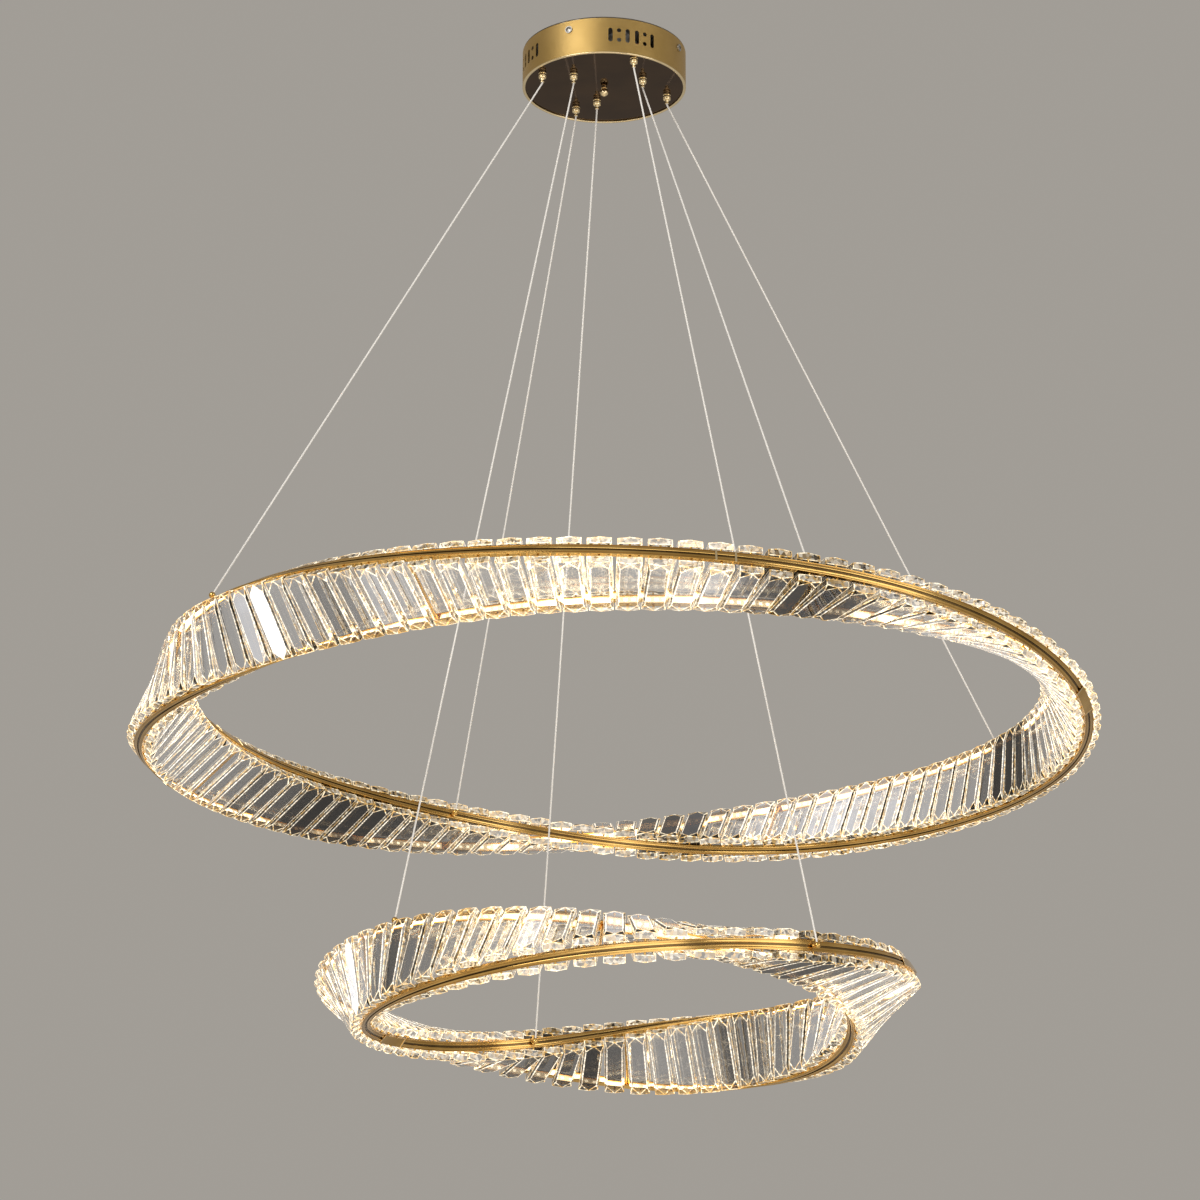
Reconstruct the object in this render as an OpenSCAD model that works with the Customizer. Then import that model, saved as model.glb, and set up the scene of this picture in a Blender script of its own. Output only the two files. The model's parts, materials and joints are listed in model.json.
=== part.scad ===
// Two-ring crystal chandelier. Each ring is a band of two gold rails that twists one full turn
// on its way round, with a layer of crystal bars on each face and light strips inside the rails.
// Seven thin cables carry the rings from a round canopy. Origin: middle of the canopy at the
// ceiling. +X right, +Y away from the viewer, +Z up, millimetres.

/* [Canopy] */
// Outside diameter of the canopy drum
canopy_d = 190; // [176:1:230]
// Height of the canopy from the ceiling to its lip
canopy_h = 44; // [42:1:60]
// Sheet thickness of the drum
drum_wall = 1; // [0.8:0.1:1.5]
// Shadow gap between the ceiling and the drum
ceiling_gap = 1; // [0.5:0.5:3]
// Width of the turned-in lip that carries the plate
lip_w = 3; // [2:0.5:4]
// Thickness of the mirror plate
plate_t = 1.5; // [1:0.1:2]
// Where the side screws stand round the drum, in degrees
screw_turn = 65; // [0:1:89]
// Depth of the side screws below the ceiling
screw_drop = 12; // [10:1:16]
// Head diameter of the side screws
screw_head_d = 8.5; // [7:0.5:10]
// Thread diameter of the side screws
screw_d = 4; // [3:0.5:5]

/* [Vents] */
// Width of a vent slot
slot_w = 5; // [3:0.5:6]
// Height of a tall vent slot
slot_h = 17; // [12:1:20]
// Spacing of the vent columns
slot_pitch = 10; // [8:0.5:12]
// Distance between the two middle columns of a vent group
slot_middle = 11.5; // [9:0.5:14]

/* [Ceiling bracket] */
// Width of the bracket arms
arm_w = 24; // [18:1:30]
// Thickness of the bracket
arm_t = 2; // [1.5:0.5:3]
// Width of the turned-down tabs
tab_w = 14; // [12:1:18]
// Circle of the ceiling screw holes, diameter
hole_circle_d = 120; // [110:5:140]
// Diameter of the ceiling screw holes
hole_d = 5; // [4:0.5:6]
// Diameter of the hole for the mains wire
mains_hole_d = 12; // [8:1:16]

/* [Drivers] */
// Length of an LED driver
driver_l = 96; // [80:2:110]
// Width of an LED driver
driver_w = 30; // [24:1:32]
// Height of an LED driver
driver_h = 22; // [18:1:24]
// Distance of each driver's middle from the canopy's middle
driver_out = 34; // [32:1:36]
// Diameter of the inner wires
lead_d = 2; // [1.5:0.5:3]

/* [Grippers] */
// Barrel diameter of a cable gripper
grip_d = 9; // [8:0.5:11]
// Barrel height of a cable gripper
grip_h = 7; // [6:0.5:10]
// Threaded stem diameter of a cable gripper
stem_d = 6; // [5.5:0.5:7]
// Diameter of the release sleeve
release_d = 4.6; // [4:0.2:4.8]
// Length of the release sleeve that shows
release_out = 4.5; // [4:0.5:7]
// Travel of the release sleeve
release_travel = 2; // [1:0.5:2.5]
// Bore for the cable
cable_bore_d = 2.6; // [2.4:0.1:2.8]
// Diameter of a suspension cable
cable_d = 1.8; // [1.2:0.1:1.9]
// Diameter of the gold ball in the middle of the plate
finial_d = 10; // [8:1:14]
// How far the ball's middle hangs below the plate
finial_drop = 6.4; // [6:0.2:9]

/* [Rings] */
// Diameter of the upper ring at the middle of its band
upper_d = 1000; // [900:10:1200]
// Diameter of the lower ring at the middle of its band
lower_d = 576; // [560:2:700]
// Depth of the upper ring's middle below the ceiling
upper_drop = 812; // [600:1:1500]
// Depth of the lower ring's middle below the ceiling
lower_drop = 1130; // [1000:1:1900]
// How far the rings hang to the right of the canopy's middle
ring_shift = 12; // [0:1:20]
// Half of the band's width, from its middle to a rail's outer face
band_half = 43.3; // [40:0.1:50]
// Twist of the upper ring's band at +X, in degrees
upper_twist = 292.7; // [250:0.1:330]
// Twist of the lower ring's band at +X, in degrees
lower_twist = 52.9; // [20:0.1:90]
// Waves in the upper ring's twist, each a cosine and a sine part in degrees
upper_waves = [[-0.5, 0.7], [4.1, -2.9], [-8.9, -2.3]];
// Waves in the lower ring's twist, each a cosine and a sine part in degrees
lower_waves = [[-9.3, -1.3], [-5.9, -1.6], [1.8, 0]];

/* [Rails] */
// Width of a rail across the band's edge
rail_w = 11; // [9:0.5:12]
// Thickness of a rail's web
rail_web = 2.5; // [1.5:0.1:2.6]
// Thickness of a rail's two flanges
rail_flange = 1.6; // [1:0.1:1.6]
// Depth of a rail, web and flange together
rail_depth = 5.5; // [4.5:0.1:7]
// Width of a light strip
strip_w = 7; // [5:0.5:7.5]
// Thickness of a light strip
strip_t = 1.5; // [1:0.1:2]
// Diameter of the posts that join the two rails
post_d = 5; // [3:0.5:6]
// Number of posts in the upper ring
upper_posts = 8; // [6:2:14]
// Number of posts in the lower ring
lower_posts = 6; // [4:2:10]
// Ball diameter of a cable anchor
anchor_d = 7; // [6:0.5:8]
// Neck diameter of a cable anchor
anchor_neck_d = 4; // [3:0.5:5]
// Distance from the rail's face to the ball's middle
anchor_out = 5; // [4.5:0.5:7]
// Where the seams between the rails' halves stand round a ring, in degrees; the second is opposite
seam_turn = 161; // [150:1:170]
// Length of the cover plate over each seam
joiner_l = 60; // [20:1:80]
// Thickness of that plate
joiner_t = 0.8; // [0.6:0.1:1.5]

/* [Crystals] */
// Crystal bars in each layer of the upper ring
upper_count = 112; // [90:2:116]
// Crystal bars in each layer of the lower ring
lower_count = 66; // [50:2:66]
// Length of a crystal bar
crystal_l = 83; // [78:0.5:84]
// Width of a crystal bar on the upper ring
upper_crystal_w = 24.5; // [18:0.1:25]
// Width of a crystal bar on the lower ring
lower_crystal_w = 22.5; // [16:0.1:23]
// Thickness of a crystal bar
crystal_t = 8.3; // [7:0.1:12]
// Size of the cut corners of a crystal bar
crystal_cut = 1; // [0.5:0.5:4]
// Gap between a rail's side and the crystals, which the pins bridge
pin_gap = 2.7; // [1.5:0.1:3]
// Diameter of the crystal pins
pin_d = 2.4; // [1.5:0.1:3]

/* [Hidden] */
$fn = 48;

// Running clearance between loose neighbours
gap = 0.3;
// Clearance between fixed neighbours
seat = 0.1;
// Clearance between the rails' twisted faces and what lies on them
twist_gap = 0.4;

// Levels and radii of the canopy
drum_r = canopy_d / 2;
plate_under = -canopy_h + drum_wall + seat;
plate_top = plate_under + plate_t;
plate_r = drum_r - drum_wall - gap;
vent_z = -canopy_h / 2;
arm_reach = sqrt(pow(drum_r - drum_wall - gap, 2) - pow(tab_w / 2, 2)) - 2 * seat;
tab_below = 6;
tab_drop = screw_drop + tab_below;

// Side screws: shank, head with its dome, and the cross recess
screw_shank = 9;
screw_head_t = 2.2;
screw_dome = 0.8;
recess_w = 1.2;
recess_l = 4.4;
recess_depth = 1.2;

// Drivers and the terminal block under the bracket
driver_under = -arm_t - seat - driver_h;
flange_l = 6;
flange_t = 3;
block_size = [24, 16, 13];
block_x = 28;
block_under = -arm_t - seat - block_size[2];
clamp_pitch = 6;
clamp_d = 3;
clamp_depth = 4;

// Finial: its collar under the plate and its stud above it
collar_d = 7;
collar_t = 2;
stud_above = 6;
finial_flats = 7;

// Where the seven cables leave the plate, as x and y in hundredths of the canopy's radius
grip_spots = [[-75, -39], [-37, -37], [-35, 57], [-9, 37], [36, -80], [47, -25], [77, 22]];
grip_places = [for (spot = grip_spots) spot / 100 * drum_r];
// Where each cable ends: ring (0 upper, 1 lower), angle round the ring, rail (1 for A, -1 for B)
cable_ends = [
    [0, 215, 1], [1, 216, -1], [0, 115, 1], [1, 112, 1], [1, 308, 1], [0, 298, -1], [0, 29, -1]
];
// Heights on the grippers
grip_under = plate_under - grip_h;
release_under = grip_under - release_out;
guide_l = 4;
guide_top = grip_under + guide_l;
stem_above = 8;
stem_top = plate_top + stem_above;
nut_t = 3;
nut_flats = 9;
// The cable bends just below its sleeve, and its tail stands above the stem
bend_below = 1.2;
cable_bend = release_under - bend_below;
tail_above = 3;
cable_top = stem_top + tail_above;
bead = 0.4;

// One row per ring: band radius, drop, direction of twist, twist at +X, waves, crystals, width, posts
RADIUS = 0;
DROP = 1;
TURN = 2;
TWIST = 3;
WAVES = 4;
COUNT = 5;
WIDTH = 6;
POSTS = 7;
rings = [
    [upper_d / 2, upper_drop, -1, upper_twist, upper_waves, upper_count, upper_crystal_w, upper_posts],
    [lower_d / 2, lower_drop, 1, lower_twist, lower_waves, lower_count, lower_crystal_w, lower_posts]
];

// Distances in the band's cross-section: n runs across the band, m stands out from its faces
crystal_near = rail_w / 2 + pin_gap;
pin_n = band_half - rail_depth / 2 - 2 * seat;
web_inner = band_half - rail_web;
strip_end_gap = 2;
strip_margin = post_d / 2 + strip_end_gap;

// Tilt of the band at an angle round the ring: even twist plus the waves
function wave_sum(waves, angle, k = 0) =
    k >= len(waves) ? 0
    : waves[k][0] * cos((k + 1) * angle) + waves[k][1] * sin((k + 1) * angle)
        + wave_sum(waves, angle, k + 1);
function tilt(ring, angle) = ring[TWIST] + ring[TURN] * angle + wave_sum(ring[WAVES], angle);
// Point of the band: n across it and m out from its face, at an angle round the ring
function band_point(ring, angle, n, m) =
    let (a = tilt(ring, angle), r = ring[RADIUS] + n * cos(a) - m * sin(a))
    [ring_shift + r * cos(angle), r * sin(angle), n * sin(a) + m * cos(a) - ring[DROP]];
// Angle of a station: crystals stand at the middle of each step, so do the rails' corners
function station(ring, i) = (i + 0.5) * 360 / ring[COUNT];
function gap_angle(ring, i) = i * 360 / ring[COUNT];
function post_angle(ring, i) = gap_angle(ring, floor((i + 0.5) * ring[COUNT] / ring[POSTS]));
function seam_angle(ring, k) = gap_angle(ring, round((seam_turn + 180 * k) / 360 * ring[COUNT]));
// Point on the straight run between two stations, where the rails and strips lie
function run_point(ring, angle, n, m) =
    let (
        at = angle * ring[COUNT] / 360 - 0.5,
        i = floor(at),
        share = at - i
    )
    share < 0.0001 ? band_point(ring, station(ring, i), n, m)
    : (1 - share) * band_point(ring, station(ring, i), n, m)
        + share * band_point(ring, station(ring, i + 1), n, m);
// Angle that a length takes up at a rail, on the side where the ring is narrower
function length_angle(ring, length) = length / (ring[RADIUS] - band_half) * 180 / PI;
// Angles of the stations between two others
function inner_stations(ring, start, end) = [
    for (j = [0 : 2 * ring[COUNT]])
        let (a = station(ring, j))
        if (a > start + 0.01 && a < end - 0.01) a
];

// Solid swept along the band through the given angles, with one closed outline of [n, m] points
module band_sweep(ring, angles, outline) {
    sides = len(outline);
    rows = len(angles);
    points = [for (a = angles) for (p = outline) run_point(ring, a, p[0], p[1])];
    skin = [
        for (i = [0 : rows - 2]) for (j = [0 : sides - 1])
            let (
                l = (j + 1) % sides,
                a = i * sides + j,
                b = i * sides + l,
                c = b + sides,
                d = a + sides
            )
            each [[a, b, c], [a, c, d]]
    ];
    ends = [
        [for (j = [sides - 1 : -1 : 0]) j],
        [for (j = [0 : sides - 1]) (rows - 1) * sides + j]
    ];
    polyhedron(points, concat(skin, ends));
}

// Children stand in the band's own axes: X across the band, Y along it, Z out of its face
module on_band(ring, angle) {
    translate([ring_shift, 0, -ring[DROP]])
        rotate([0, 0, angle])
            translate([ring[RADIUS], 0, 0])
                rotate([0, -tilt(ring, angle), 0])
                    children();
}

// Half of a U-shaped rail, open towards the middle of the band; side is 1 for rail A and -1
// for rail B, and half is 0 for the front of the ring and 1 for the back
module rail(ring, side, half) {
    outer = band_half;
    inner = band_half - rail_depth;
    wide = rail_w / 2;
    well = wide - rail_flange;
    outline = [
        [outer, -wide], [outer, wide], [inner, wide], [inner, well],
        [web_inner, well], [web_inner, -well], [inner, -well], [inner, -wide]
    ];
    turned = [for (p = outline) side * p];
    start = seam_angle(ring, half) + length_angle(ring, seat);
    end = seam_angle(ring, half + 1) - length_angle(ring, seat);
    color("goldenrod")
        band_sweep(ring, concat([start], inner_stations(ring, start, end), [end]), turned);
}

// Thin plates on the outer faces cover the seams of both rails
module joiners(ring) {
    inside = band_half + twist_gap;
    outline = [
        [inside, -rail_w / 2], [inside + joiner_t, -rail_w / 2],
        [inside + joiner_t, rail_w / 2], [inside, rail_w / 2]
    ];
    reach = joiner_l / 2 / ring[RADIUS] * 180 / PI;
    color("gold")
        for (side = [1, -1]) for (k = [0, 1]) {
            start = seam_angle(ring, k) - reach;
            end = seam_angle(ring, k) + reach;
            angles = concat([start], inner_stations(ring, start, end), [end]);
            band_sweep(ring, angles, [for (p = outline) side * p]);
        }
}

// Light strips lie on the rail's web between the posts
module strips(ring, side) {
    top = web_inner - twist_gap;
    outline = [
        [top, -strip_w / 2], [top, strip_w / 2],
        [top - strip_t, strip_w / 2], [top - strip_t, -strip_w / 2]
    ];
    turned = [for (p = outline) side * p];
    margin = length_angle(ring, strip_margin);
    color("lightyellow")
        for (i = [0 : ring[POSTS] - 1]) {
            start = post_angle(ring, i) + margin;
            end = post_angle(ring, i + 1) - margin;
            band_sweep(ring, concat([start], inner_stations(ring, start, end), [end]), turned);
        }
}

// Round posts stand between the webs of the two rails
module posts(ring) {
    half = web_inner - twist_gap;
    color("goldenrod")
        for (i = [0 : ring[POSTS] - 1])
            on_band(ring, post_angle(ring, i))
                rotate([0, 90, 0])
                    cylinder(d = post_d, h = 2 * half, center = true);
}

// One crystal bar, lying across the band with its back at crystal_near
module crystal(width) {
    long = crystal_l / 2;
    wide = width / 2;
    c = crystal_cut;
    translate([0, 0, crystal_near])
        linear_extrude(height = crystal_t)
            polygon([
                [long, wide - c], [long - c, wide], [c - long, wide], [-long, wide - c],
                [-long, c - wide], [c - long, -wide], [long - c, -wide], [long, c - wide]
            ]);
}

// One layer of crystal bars; face is 1 or -1 for the two faces of the band
module crystals(ring, face) {
    color("lightcyan", 0.5)
        for (i = [0 : ring[COUNT] - 1])
            on_band(ring, station(ring, i))
                rotate([face > 0 ? 0 : 180, 0, 0])
                    crystal(ring[WIDTH]);
}

// Short pins hold both ends of every crystal to the rails
module pins(ring) {
    color("gold")
        for (i = [0 : ring[COUNT] - 1])
            on_band(ring, station(ring, i))
                for (n = [-pin_n, pin_n]) for (face = [0, 180])
                    rotate([face, 0, 0])
                        translate([n, 0, rail_w / 2 + twist_gap])
                            cylinder(d = pin_d, h = pin_gap - twist_gap - seat);
}

// Ball studs on the rails' outer faces take the cables
module anchors(index) {
    color("gold")
        for (end = cable_ends)
            if (end[0] == index)
                on_band(rings[index], end[1])
                    rotate([0, 90 * end[2], 0])
                        translate([0, 0, band_half + twist_gap]) {
                            cylinder(d = anchor_neck_d, h = anchor_out);
                            translate([0, 0, anchor_out])
                                sphere(d = anchor_d);
                        }
}

function anchor_middle(end) =
    band_point(rings[end[0]], end[1], end[2] * (band_half + twist_gap + anchor_out), 0);

// A straight round bar between two points
module bar(from, to, diameter) {
    run = to - from;
    length = norm(run);
    translate(from)
        rotate([0, acos(run[2] / length), atan2(run[1], run[0])])
            cylinder(d = diameter, h = length);
}

// A bent wire through a list of points, with a small bead over each bend
module wire(path, diameter) {
    for (i = [0 : len(path) - 2])
        bar(path[i], path[i + 1], diameter);
    for (i = [1 : len(path) - 2])
        translate(path[i])
            sphere(d = diameter + bead);
}

// Cable: upright inside the gripper, then straight to its anchor
module cable(i) {
    place = grip_places[i];
    bend = [place[0], place[1], cable_bend];
    goal = anchor_middle(cable_ends[i]);
    run = goal - bend;
    short = goal - run / norm(run) * (anchor_d / 2 + seat / 2);
    color("gainsboro")
        wire([[place[0], place[1], cable_top], bend, short], cable_d);
}

module at_grip(i) {
    translate([grip_places[i][0], grip_places[i][1], 0])
        children();
}

// Gripper: barrel under the plate, threaded stem through it, bore for the cable
module gripper(i) {
    color("goldenrod")
        at_grip(i)
            difference() {
                union() {
                    translate([0, 0, grip_under])
                        cylinder(d = grip_d, h = grip_h);
                    translate([0, 0, plate_under - 1])
                        cylinder(d = stem_d, h = stem_top - plate_under + 1);
                }
                translate([0, 0, grip_under - 1])
                    cylinder(d = cable_bore_d, h = stem_top - grip_under + 2);
                translate([0, 0, grip_under - 1])
                    cylinder(d = release_d + 2 * seat, h = guide_top - grip_under + 1 + release_travel + gap);
            }
}

// Release sleeve: pressed up to let the cable run
module release(i) {
    color("gold")
        at_grip(i)
            difference() {
                translate([0, 0, release_under])
                    cylinder(d = release_d, h = guide_top - release_under);
                translate([0, 0, release_under - 1])
                    cylinder(d = cable_bore_d, h = guide_top - release_under + 2);
            }
}

module hex_nut(flats, thickness, bore) {
    difference() {
        cylinder(d = flats / cos(30), h = thickness, $fn = 6);
        translate([0, 0, -1])
            cylinder(d = bore, h = thickness + 2);
    }
}

module gripper_nuts() {
    color("silver")
        for (i = [0 : len(grip_places) - 1])
            at_grip(i)
                translate([0, 0, plate_top + seat])
                    hex_nut(nut_flats, nut_t, stem_d + 2 * seat);
}

// Cross of two arms on the ceiling, with turned-down tabs for the side screws
module ceiling_bracket() {
    color("silver")
        rotate([0, 0, screw_turn])
            difference() {
                for (turn = [0, 90])
                    rotate([0, 0, turn]) {
                        translate([-arm_reach, -arm_w / 2, -arm_t])
                            intersection() {
                                cube([2 * arm_reach, arm_w, arm_t]);
                                translate([arm_reach, arm_w / 2, -1])
                                    cylinder(r = plate_r, h = arm_t + 2);
                            }
                        for (side = [-1, 1])
                            translate([side * (arm_reach - arm_t / 2), 0, -tab_drop / 2])
                                cube([arm_t, tab_w, tab_drop], center = true);
                    }
                for (turn = [0, 90, 180, 270])
                    rotate([0, 0, turn]) {
                        translate([hole_circle_d / 2, 0, -arm_t - 1])
                            cylinder(d = hole_d, h = arm_t + 2);
                        translate([arm_reach - arm_t - 1, 0, -screw_drop])
                            rotate([0, 90, 0])
                                cylinder(d = screw_d + 2 * seat, h = arm_t + 2);
                    }
                translate([0, 0, -arm_t - 1])
                    cylinder(d = mains_hole_d, h = arm_t + 2);
            }
}

// One group of vents: two sets of tall slot, two round holes, tall slot
module vent_group() {
    depth = 3 * drum_wall;
    for (side = [-1, 1]) for (column = [0 : 2]) {
        along = side * (slot_middle / 2 + column * slot_pitch);
        rotate([0, 0, along / drum_r * 180 / PI])
            translate([drum_r + drum_wall, 0, vent_z])
                rotate([0, -90, 0])
                    linear_extrude(height = depth)
                        if (column == 1) {
                            for (up = [-1, 1])
                                translate([up * (slot_h - slot_w) / 2, 0])
                                    circle(d = slot_w);
                        } else {
                            for (up = [-1, 1])
                                translate([up * (slot_h - slot_w) / 2, 0])
                                    circle(d = slot_w);
                            square([slot_h - slot_w, slot_w], center = true);
                        }
    }
}

module canopy_drum() {
    color("darkgoldenrod")
        difference() {
            translate([0, 0, -canopy_h])
                cylinder(r = drum_r, h = canopy_h - ceiling_gap);
            translate([0, 0, -canopy_h + drum_wall])
                cylinder(r = drum_r - drum_wall, h = canopy_h);
            translate([0, 0, -canopy_h - 1])
                cylinder(r = drum_r - lip_w, h = canopy_h);
            for (turn = [0, 90, 180, 270]) {
                rotate([0, 0, screw_turn + turn])
                    translate([drum_r - 2 * drum_wall, 0, -screw_drop])
                        rotate([0, 90, 0])
                            cylinder(d = screw_d + 2 * seat, h = 4 * drum_wall);
                rotate([0, 0, screw_turn + 45 + turn])
                    vent_group();
            }
        }
}

module canopy_plate() {
    color("saddlebrown")
        difference() {
            translate([0, 0, plate_under])
                cylinder(r = plate_r, h = plate_t);
            for (i = [0 : len(grip_places) - 1])
                at_grip(i)
                    translate([0, 0, plate_under - 1])
                        cylinder(d = stem_d + gap, h = plate_t + 2);
            translate([0, 0, plate_under - 1])
                cylinder(d = screw_d + gap, h = plate_t + 2);
        }
}

// Pan-head side screws with a cross recess
module canopy_screws() {
    color("silver")
        for (turn = [0, 90, 180, 270])
            rotate([0, 0, screw_turn + turn])
                translate([drum_r + seat, 0, -screw_drop])
                    rotate([0, 90, 0])
                        difference() {
                            union() {
                                cylinder(d = screw_head_d, h = screw_head_t - screw_dome);
                                intersection() {
                                    cylinder(d = screw_head_d, h = screw_head_t);
                                    translate([0, 0, screw_head_t - screw_head_d])
                                        sphere(r = screw_head_d);
                                }
                                translate([0, 0, -screw_shank])
                                    cylinder(d = screw_d, h = screw_shank + 0.5);
                            }
                            for (size = [[recess_w, recess_l], [recess_l, recess_w]])
                                translate([-size[0] / 2, -size[1] / 2, screw_head_t - recess_depth])
                                    cube([size[0], size[1], 2]);
                        }
}

// Driver box with a mounting flange at each end; side is 1 or -1
module led_driver(side) {
    color("white")
        rotate([0, 0, screw_turn])
            translate([0, side * driver_out, driver_under]) {
                translate([-driver_l / 2 + flange_l, -driver_w / 2, 0])
                    cube([driver_l - 2 * flange_l, driver_w, driver_h]);
                translate([-driver_l / 2, -driver_w / 2, driver_h - flange_t])
                    cube([driver_l, driver_w, flange_t]);
            }
}

module terminal_block() {
    color("ivory")
        rotate([0, 0, screw_turn])
            difference() {
                translate([block_x - block_size[0] / 2, -block_size[1] / 2, block_under])
                    cube(block_size);
                for (k = [-1, 0, 1])
                    translate([block_x + k * clamp_pitch, 0, block_under - 1])
                        cylinder(d = clamp_d, h = clamp_depth + 1);
            }
}

// Wires from the terminal block to the drivers, inside the canopy
module mains_leads() {
    low = block_under - lead_d / 2 - seat;
    start = 0.75 * lead_d;
    color("brown")
        rotate([0, 0, screw_turn])
            for (side = [-1, 1])
                wire([
                    [block_x + side * clamp_pitch, side * start, low],
                    [block_x + side * clamp_pitch, side * (driver_out - driver_w / 2 - seat), low]
                ], lead_d);
}

// The cables carry the low voltage, so four wires run from the drivers to four grippers
module output_leads() {
    color("red")
        for (i = [0, 1, 4, 6]) {
            x = grip_places[i][0] + stem_d / 2 + lead_d / 2 + seat;
            y = grip_places[i][1];
            wire([[x, y, plate_top + nut_t + 2 * seat], [x, y, driver_under - seat]], lead_d);
        }
}

// Gold ball under the plate on a threaded stud
module finial() {
    color("gold") {
        translate([0, 0, plate_under - finial_drop])
            sphere(d = finial_d);
        translate([0, 0, plate_under - collar_t])
            cylinder(d = collar_d, h = collar_t - seat);
        translate([0, 0, plate_under - finial_drop])
            cylinder(d = screw_d, h = finial_drop + plate_t + stud_above);
    }
}

module finial_nut() {
    color("silver")
        translate([0, 0, plate_top + seat])
            hex_nut(finial_flats, nut_t, screw_d + 2 * seat);
}

ceiling_bracket();
canopy_drum();
canopy_plate();
canopy_screws();
led_driver(1);  // led_driver_upper
led_driver(-1);  // led_driver_lower
terminal_block();
mains_leads();
output_leads();
finial();
finial_nut();
gripper_nuts();
for (i = [0 : len(grip_places) - 1]) {
    gripper(i);
    release(i);
    cable(i);
}
for (i = [0, 1]) {
    name = ["upper", "lower"][i];
    rail(rings[i], 1, 1);
    rail(rings[i], 1, 0);
    rail(rings[i], -1, 1);
    rail(rings[i], -1, 0);
    joiners(rings[i]);
    strips(rings[i], 1);
    strips(rings[i], -1);
    posts(rings[i]);
    crystals(rings[i], 1);
    crystals(rings[i], -1);
    pins(rings[i]);
    anchors(i);
}
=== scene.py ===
# Crystal chandelier: two twisted rings of crystal bars on gold rails, hung from a round canopy
import json
import math
import bmesh
import bpy
import numpy as np
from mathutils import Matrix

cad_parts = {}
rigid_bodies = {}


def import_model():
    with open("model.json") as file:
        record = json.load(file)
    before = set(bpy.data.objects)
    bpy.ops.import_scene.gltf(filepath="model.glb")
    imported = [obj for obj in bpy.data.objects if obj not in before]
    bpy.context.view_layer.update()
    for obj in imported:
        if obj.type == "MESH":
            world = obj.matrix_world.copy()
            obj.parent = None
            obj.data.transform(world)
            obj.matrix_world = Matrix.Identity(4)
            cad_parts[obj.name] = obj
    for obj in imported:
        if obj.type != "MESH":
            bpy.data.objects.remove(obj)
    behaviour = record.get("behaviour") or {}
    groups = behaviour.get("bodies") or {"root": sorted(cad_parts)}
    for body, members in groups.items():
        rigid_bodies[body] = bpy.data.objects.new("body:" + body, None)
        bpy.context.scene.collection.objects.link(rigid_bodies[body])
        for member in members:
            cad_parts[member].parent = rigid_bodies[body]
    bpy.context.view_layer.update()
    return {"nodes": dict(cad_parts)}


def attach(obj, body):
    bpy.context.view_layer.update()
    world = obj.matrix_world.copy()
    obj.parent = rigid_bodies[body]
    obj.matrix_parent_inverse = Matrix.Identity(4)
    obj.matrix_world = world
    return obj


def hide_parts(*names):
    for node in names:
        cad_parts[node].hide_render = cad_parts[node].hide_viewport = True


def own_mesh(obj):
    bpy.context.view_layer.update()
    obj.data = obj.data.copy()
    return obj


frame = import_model()
nodes = frame["nodes"]
mm = 0.001
rng = np.random.default_rng(7)

# camera, in the chandelier's own frame: metres and degrees, image taken as 1200 x 1200
cameraPlace = {"x": 0.012, "y": -4.356, "z": -2.128, "pitchUp": 18.0, "sensor": 36.0,
               "focal": 4114.0, "middleX": 614.5, "middleY": 634.6, "image": 1200.0}


# Pinhole camera: the lens and the shifts are the focal length and the image's middle as shares of its
# width
def placeCamera(place):
    data = bpy.data.cameras.new("photo camera")
    data.sensor_width = place["sensor"]
    data.lens = place["focal"] / place["image"] * data.sensor_width
    data.shift_x = (place["image"] / 2 - place["middleX"]) / place["image"]
    data.shift_y = (place["middleY"] - place["image"] / 2) / place["image"]
    camera = bpy.data.objects.new("photo camera", data)
    camera.location = (place["x"], place["y"], place["z"])
    camera.rotation_euler = (math.radians(90 + place["pitchUp"]), 0, 0)
    bpy.context.scene.collection.objects.link(camera)
    bpy.context.scene.camera = camera


placeCamera(cameraPlace)
print("camera placed")

# The two rings, in millimetres and degrees. Twist is the band's tilt at +X, waves are its small departures
# from an even turn, seams are counted in bars, straps are angles, and lift is the ring's travel in metres.
rings = {
    "upper": {"radius": 500.0, "drop": 812.0, "turn": -1, "twist": 292.7, "count": 112, "posts": 8,
              "waves": [(-0.5, 0.7), (4.1, -2.9), (-8.9, -2.3)], "crystalWidth": 24.5,
              "body": "upper_ring", "seams": (50, 106), "straps": (280.5, 282.6), "lift": 0.25},
    "lower": {"radius": 288.0, "drop": 1130.0, "turn": 1, "twist": 52.9, "count": 66, "posts": 6,
              "waves": [(-9.3, -1.3), (-5.9, -1.6), (1.8, 0.0)], "crystalWidth": 22.5,
              "body": "lower_ring", "seams": (30, 63), "straps": (), "lift": 0.15},
}
ringShift = 12.0


# Band of a ring: the tilt is the even turn plus a sum of cosines and sines of whole multiples of
# the angle, and a point lies n across the band and m out of its face in the tilted cross-section
def bandTilt(ring, angle):
    total = ring["twist"] + ring["turn"] * angle
    for k, (c, s) in enumerate(ring["waves"], 1):
        turn = np.radians(k * angle)
        total = total + c * np.cos(turn) + s * np.sin(turn)
    return np.radians(total)


def bandPoint(ring, angle, n, m):
    a = bandTilt(ring, angle)
    t = np.radians(angle)
    r = ring["radius"] + n * np.cos(a) - m * np.sin(a)
    return np.stack([ringShift + r * np.cos(t), r * np.sin(t),
                     n * np.sin(a) + m * np.cos(a) - ring["drop"] + 0 * t], axis=-1) * mm


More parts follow.
